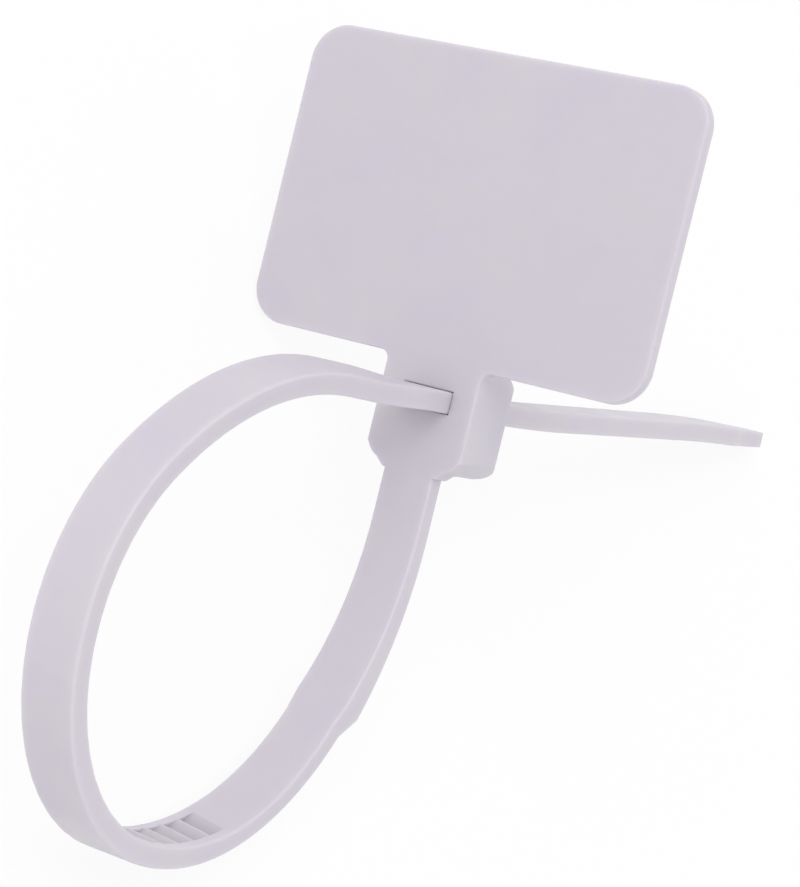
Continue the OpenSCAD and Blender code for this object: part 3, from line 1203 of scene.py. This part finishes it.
@dataclass
class MarkerTie:
    """The whole moulding: plate, head and strap in one piece of nylon."""

    lies: Matrix
    nylon: MouldedNylon = field(default_factory=MouldedNylon)
    sharp_degrees: float = 34.0
    flat_weight: int = 100

    def build(self) -> bpy.types.Object:
        """Builds, joins and lays the moulding.

        Returns:
            The finished piece.
        """
        nylon = self.nylon.material()
        strap = ToothedStrap(StrapRoute())
        head = RatchetHead(strap)
        body = head.build()
        logger.info("head: %d faces", len(body.piece.data.polygons))
        body.blend(MarkerPlate().build(), Blend.ADD)
        logger.info("head and plate: %d faces", len(body.piece.data.polygons))
        tie = strap.build(nylon)
        logger.info("strap: %d faces, %.1f mm", len(tie.piece.data.polygons), strap.route.length)
        tie.blend(body, Blend.ADD)
        piece = tie.piece
        piece.name = "nylon_moulding"
        mesh = piece.data
        mesh.name = "nylon_moulding"
        mesh.transform(self.lies)
        mesh.materials.clear()
        mesh.materials.append(nylon)
        mesh.polygons.foreach_set("material_index", [0] * len(mesh.polygons))
        mesh.polygons.foreach_set("use_smooth", [True] * len(mesh.polygons))
        mesh.set_sharp_from_angle(angle=math.radians(self.sharp_degrees))
        normals = piece.modifiers.new("flat_faces", "WEIGHTED_NORMAL")
        normals.keep_sharp = True
        normals.weight = self.flat_weight
        tie.settle()
        logger.info("moulding: %d faces", len(piece.data.polygons))
        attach(piece, "root")
        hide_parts(NODE_NAME)
        return piece


@dataclass(frozen=True)
class StudioWhite:
    """Floor paint that stays white to the camera and still takes the object's shadow."""

    colour: str = "#f4f4f4"
    lift: float = 0.88

    def material(self) -> bpy.types.Material:
        """Builds the floor's material.

        Returns:
            The material.
        """
        made = bpy.data.materials.new("studio_white")
        made.use_nodes = True
        tree = made.node_tree
        tree.nodes.clear()
        rays = add_node(tree, "ShaderNodeLightPath").outputs
        seen = rays["Is Camera Ray"]
        for other in ("Is Glossy Ray", "Is Transmission Ray"):
            seen = add_node(
                tree, "ShaderNodeMath", {0: seen, 1: rays[other]}, operation="MAXIMUM"
            ).outputs[0]
        paint = add_node(tree, "ShaderNodeBsdfDiffuse", {"Color": linear(self.colour)})
        glow = add_node(tree, "ShaderNodeEmission", {"Color": (1, 1, 1, 1), "Strength": 1.0})
        lifted = add_node(
            tree, "ShaderNodeMixShader", {0: self.lift, 1: paint.outputs[0], 2: glow.outputs[0]}
        )
        shown = add_node(
            tree, "ShaderNodeMixShader", {0: seen, 1: paint.outputs[0], 2: lifted.outputs[0]}
        )
        add_node(tree, "ShaderNodeOutputMaterial", {"Surface": shown.outputs[0]})
        return made


@dataclass
class Studio:
    """A white floor, a soft box over the tie and an even pale world."""

    floor_size: float = 3.0
    world_level: float = 0.92
    key_size: float = 0.5
    key_power: float = 1.2
    key_at: Corner = (-0.25, -0.35, 0.6)

    def floor(self) -> None:
        """Lays the floor just under the tie."""
        half = self.floor_size / 2
        mesh = bpy.data.meshes.new("studio_floor")
        mesh.from_pydata(
            [(-half, -half, 0), (half, -half, 0), (half, half, 0), (-half, half, 0)],
            [],
            [(0, 1, 2, 3)],
        )
        floor = bpy.data.objects.new("studio_floor", mesh)
        bpy.context.scene.collection.objects.link(floor)
        floor.data.materials.append(StudioWhite().material())

    def world(self) -> None:
        """Sets the even light, and a white background for what is seen beyond the floor."""
        world = bpy.data.worlds.new("studio_world")
        bpy.context.scene.world = world
        world.use_nodes = True
        tree = world.node_tree
        tree.nodes.clear()
        rays = add_node(tree, "ShaderNodeLightPath").outputs
        light = add_node(
            tree, "ShaderNodeBackground", {"Color": (1, 1, 1, 1), "Strength": self.world_level}
        )
        white = add_node(tree, "ShaderNodeBackground", {"Color": (1, 1, 1, 1), "Strength": 1.0})
        mix = add_node(
            tree,
            "ShaderNodeMixShader",
            {0: rays["Is Camera Ray"], 1: light.outputs[0], 2: white.outputs[0]},
        )
        add_node(tree, "ShaderNodeOutputWorld", {"Surface": mix.outputs[0]})

    def lamps(self) -> None:
        """Hangs the soft box."""
        data = bpy.data.lights.new("soft_box", "AREA")
        data.shape = "SQUARE"
        data.size = self.key_size
        data.energy = self.key_power
        lamp = bpy.data.objects.new("soft_box", data)
        bpy.context.scene.collection.objects.link(lamp)
        at = Vector(self.key_at)
        lamp.matrix_world = Matrix.Translation(at) @ at.to_track_quat("Z", "Y").to_matrix().to_4x4()

    def build(self) -> None:
        """Builds the whole studio."""
        self.floor()
        self.world()
        self.lamps()
        bpy.context.scene.view_settings.view_transform = "Standard"


def main() -> None:
    """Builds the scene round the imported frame."""
    logging.basicConfig(level=logging.INFO, format="%(name)s: %(message)s")
    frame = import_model()
    lies = MouldingFrame().matrix(frame["record"])
    PhotoView().place(lies)
    Studio().build()
    MarkerTie(lies).build()


if __name__ == "__main__":
    main()
